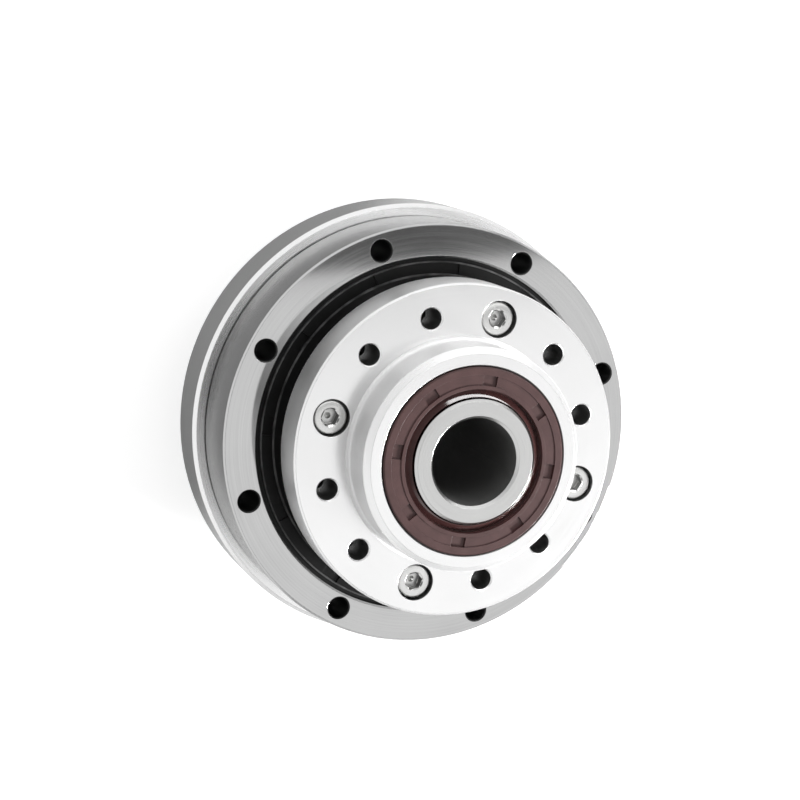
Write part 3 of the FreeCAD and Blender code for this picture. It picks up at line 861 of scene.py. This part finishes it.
@dataclass
class Lamp:
    """Soft rectangular lamp of a given brightness."""

    name: str
    place: Point
    aim: Point
    along: Point
    width: float
    height: float
    brightness: float

    def make(self) -> None:
        """Hang the lamp."""
        data = bpy.data.lights.new(self.name, "AREA")
        data.shape = "RECTANGLE"
        data.size = self.width
        data.size_y = self.height
        data.energy = self.brightness * math.pi * self.width * self.height
        lamp = bpy.data.objects.new(self.name, data)
        back = (Vector(self.place) - Vector(self.aim)).normalized()
        across = back.cross(Vector(self.along)).normalized()
        turn = Matrix((across.cross(back), across, back)).transposed().to_4x4()
        lamp.matrix_world = Matrix.Translation(self.place) @ turn
        bpy.context.scene.collection.objects.link(lamp)


@dataclass(frozen=True)
class SoftBox:
    """Overhead box by its edges along and across the dark gap, and its share of the boxes' brightness."""

    name: str
    left: float
    right: float
    far: float
    near: float
    share: float


@dataclass
class Studio:
    """Pale floor, soft lamps and dim room."""

    floor: float = -12.0 * MM
    reach: float = 3.0
    floor_tone: float = 0.52
    floor_roughness: float = 0.9
    glow: float = 0.72
    mirrored_glow: float = 0.03
    horizon: float = 1.05
    zenith: float = 0.14
    horizon_top: float = 0.43
    zenith_start: float = 0.53
    box_height: float = 0.45
    box_brightness: float = 0.88
    gap: float = 0.036
    gap_place: Tuple[float, float] = (0.160, 0.0168)
    gap_slope: float = 0.376
    near_boxes: Tuple[SoftBox, ...] = (
        SoftBox("near_box", left=-0.16, right=0.20, far=0.0, near=0.30, share=0.97),
        SoftBox("side_box", left=-0.40, right=-0.16, far=0.0, near=0.30, share=0.65))
    far_left: float = -0.28
    far_right: float = 0.18
    far_depth: float = 0.26
    far_share: float = 1.30
    strip_ends: Tuple[Tuple[float, float], ...] = ((50.0, 16.5), (116.0, 39.0))
    strip_distance: float = 0.6
    strip_width: float = 0.06
    strip_brightness: float = 9.0
    key_place: Point = (1.056, -0.261, 0.507)
    key_side: float = 0.3
    key_brightness: float = 88.0

    def make(self) -> None:
        """Build the floor, the room's light and the lamps."""
        self.lay_floor()
        self.light_room()
        for lamp in (self.key_lamp(), self.strip_lamp(), *self.box_lamps()):
            lamp.make()

    def key_lamp(self) -> Lamp:
        """Strong lamp low on the far side."""
        return Lamp("key", self.key_place, (0, 0, 0), (0, 1, 0), self.key_side, self.key_side,
                    self.key_brightness)

    def strip_lamp(self) -> Lamp:
        """Narrow lamp that the greased lip mirrors as a bright arc.

        Returns:
            The lamp between the strip's two ends.
        """
        start, end = (self.towards(*direction) for direction in self.strip_ends)
        strip = end - start
        return Lamp("strip", tuple((start + end) / 2), (0, 0, 0), tuple(strip), strip.length,
                    self.strip_width, self.strip_brightness)

    def box_lamps(self) -> List[Lamp]:
        """Boxes overhead with a dark gap between them, which the ring's face mirrors.

        Returns:
            The lamps, on both sides of the gap.
        """
        along = math.atan(self.gap_slope)
        onward = Vector((math.cos(along), math.sin(along), 0.0))
        side = Vector((math.sin(along), -math.cos(along), 0.0))
        far_box = SoftBox("far_box", self.far_left, self.far_right, -self.far_depth - self.gap, -self.gap,
                          self.far_share)
        lamps: List[Lamp] = []
        for box in (*self.near_boxes, far_box):
            corner = Vector((*self.gap_place, self.box_height))
            place = corner + onward * (box.left + box.right) / 2 + side * (box.far + box.near) / 2
            lamps.append(Lamp(box.name, tuple(place), (place.x, place.y, 0.0), tuple(onward),
                              box.right - box.left, box.near - box.far, self.box_brightness * box.share))
        return lamps

    def towards(self, azimuth: float, elevation: float) -> Vector:
        """Place of a strip's end.

        Args:
            azimuth: Direction about the gearbox axis, in degrees.
            elevation: Angle above the floor, in degrees.

        Returns:
            The point at the strip's distance.
        """
        level = math.radians(azimuth)
        rise = math.radians(elevation)
        return Vector((math.cos(level) * math.cos(rise), math.sin(level) * math.cos(rise),
                       math.sin(rise))) * self.strip_distance

    def lay_floor(self) -> None:
        """Lay a wide floor that shows white and keeps the shadow."""
        r, z = self.reach, self.floor
        mesh = bpy.data.meshes.new("floor")
        mesh.from_pydata([(-r, -r, z), (r, -r, z), (r, r, z), (-r, r, z)], [], [(0, 1, 2, 3)])
        floor = bpy.data.objects.new("floor", mesh)
        bpy.context.scene.collection.objects.link(floor)
        graph = Graph("floor_paper")
        shader = graph.shader
        shader.inputs["Roughness"].default_value = self.floor_roughness
        shader.inputs["Specular IOR Level"].default_value = 0.0
        shader.inputs["Base Color"].default_value = (*grey(self.floor_tone), 1.0)
        shader.inputs["Emission Color"].default_value = (1.0, 1.0, 1.0, 1.0)
        path = graph.tree.nodes.new("ShaderNodeLightPath")
        mirrored = graph.math("MAXIMUM", path.outputs["Is Glossy Ray"], path.outputs["Is Transmission Ray"])
        seen = graph.math("MULTIPLY", path.outputs["Is Camera Ray"], self.glow)
        strength = graph.math("MULTIPLY_ADD", mirrored, self.mirrored_glow, seen)
        graph.join(strength, shader.inputs["Emission Strength"])
        mesh.materials.append(graph.material)

    def light_room(self) -> None:
        """Give the room a pale horizon and a dim ceiling."""
        world = bpy.data.worlds.new("room")
        bpy.context.scene.world = world
        world.use_nodes = True
        tree = world.node_tree
        tree.nodes.clear()
        place = tree.nodes.new("ShaderNodeTexCoord")
        apart = tree.nodes.new("ShaderNodeSeparateXYZ")
        ramp = tree.nodes.new("ShaderNodeMapRange")
        back = tree.nodes.new("ShaderNodeBackground")
        output = tree.nodes.new("ShaderNodeOutputWorld")
        for key, number in (("From Min", self.horizon_top), ("From Max", self.zenith_start),
                            ("To Min", self.horizon), ("To Max", self.zenith)):
            ramp.inputs[key].default_value = number
        tree.links.new(place.outputs["Generated"], apart.inputs[0])
        tree.links.new(apart.outputs[2], ramp.inputs["Value"])
        tree.links.new(ramp.outputs[0], back.inputs["Strength"])
        tree.links.new(back.outputs[0], output.inputs[0])
        back.inputs["Color"].default_value = (1.0, 1.0, 1.0, 1.0)


def main() -> None:
    """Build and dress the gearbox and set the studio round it."""
    logging.basicConfig(level=logging.INFO, format="%(name)s %(message)s")
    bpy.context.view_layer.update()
    dresser = Dresser()
    Camera().make()
    for part in (OutputSide(), HousingSide(), InputSide(), RollingSets()):
        part.build(dresser)
    Studio().make()
    bpy.context.scene.view_settings.view_transform = "Standard"


if __name__ == "__main__":
    main()
